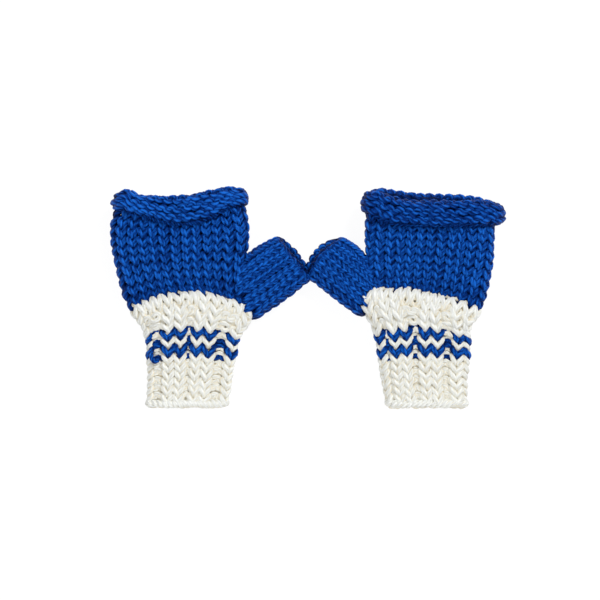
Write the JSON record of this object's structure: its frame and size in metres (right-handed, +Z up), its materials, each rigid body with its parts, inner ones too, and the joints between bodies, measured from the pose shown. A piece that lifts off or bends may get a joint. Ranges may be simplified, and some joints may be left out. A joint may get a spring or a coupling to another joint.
{
  "type": "fingerless mittens",
  "caption": "Pair of chunky hand-knitted fingerless mittens with ribbed striped cuffs, rolled finger edges and half thumbs that fold.",
  "frame": {"origin": "on the surface that the mittens lie on, under the middle of the pair", "axes": "+X across the pair from the left mitten to the right one, +Y from the cuffs to the finger openings, +Z up from the surface"},
  "size_m": [0.2789, 0.1488, 0.0281],
  "materials": {
    "blue_wool": "smooth plied wool yarn, slightly shiny, royal blue",
    "white_wool": "smooth plied wool yarn, slightly shiny, natural white"
  },
  "bodies": {
    "left_mitten": {"left_lower_stripe": "blue_wool", "left_white_round": "white_wool", "left_upper_stripe": "blue_wool", "left_cuff_top": "white_wool", "left_hand_tube": "blue_wool", "left_rolled_edge": "blue_wool", "left_bind_off_chain": "blue_wool", "left_thumb_gusset": "blue_wool", "left_stripe_yarn_end": "blue_wool", "left_bind_off_yarn_end": "blue_wool", "left_thumb_yarn_end": "blue_wool"},
    "left_cuff": {"left_cast_on_edge": "white_wool", "left_cuff_rib": "white_wool", "left_cast_on_yarn_end": "white_wool"},
    "left_thumb": {"left_thumb_tube": "blue_wool", "left_thumb_edge": "blue_wool"},
    "right_mitten": {"right_lower_stripe": "blue_wool", "right_white_round": "white_wool", "right_upper_stripe": "blue_wool", "right_cuff_top": "white_wool", "right_hand_tube": "blue_wool", "right_rolled_edge": "blue_wool", "right_bind_off_chain": "blue_wool", "right_thumb_gusset": "blue_wool", "right_stripe_yarn_end": "blue_wool", "right_bind_off_yarn_end": "blue_wool", "right_thumb_yarn_end": "blue_wool"},
    "right_cuff": {"right_cast_on_edge": "white_wool", "right_cuff_rib": "white_wool", "right_cast_on_yarn_end": "white_wool"},
    "right_thumb": {"right_thumb_tube": "blue_wool", "right_thumb_edge": "blue_wool"}
  },
  "joints": [
    {"name": "pair_spread", "type": "slide", "parent": "left_mitten", "child": "right_mitten", "axis": [1, 0, 0], "range_m": [0, 0.15]},
    {"name": "left_thumb_fold", "type": "hinge", "parent": "left_mitten", "child": "left_thumb", "pos_m": [-0.02947, 0.01515, 0.01796], "axis": [0.3064, -0.9519, 0], "range_deg": [0, 120]},
    {"name": "left_cuff_fold", "type": "hinge", "parent": "left_mitten", "child": "left_cuff", "pos_m": [-0.0818, -0.03837, 0.0177], "axis": [-1, 0, 0], "range_deg": [0, 120]},
    {"name": "right_thumb_fold", "type": "hinge", "parent": "right_mitten", "child": "right_thumb", "pos_m": [0.03152, 0.0174, 0.01796], "axis": [0.285, 0.9585, 0], "range_deg": [0, 120]},
    {"name": "right_cuff_fold", "type": "hinge", "parent": "right_mitten", "child": "right_cuff", "pos_m": [0.0838, -0.03837, 0.0177], "axis": [-1, 0, 0], "range_deg": [0, 120]}
  ]
}
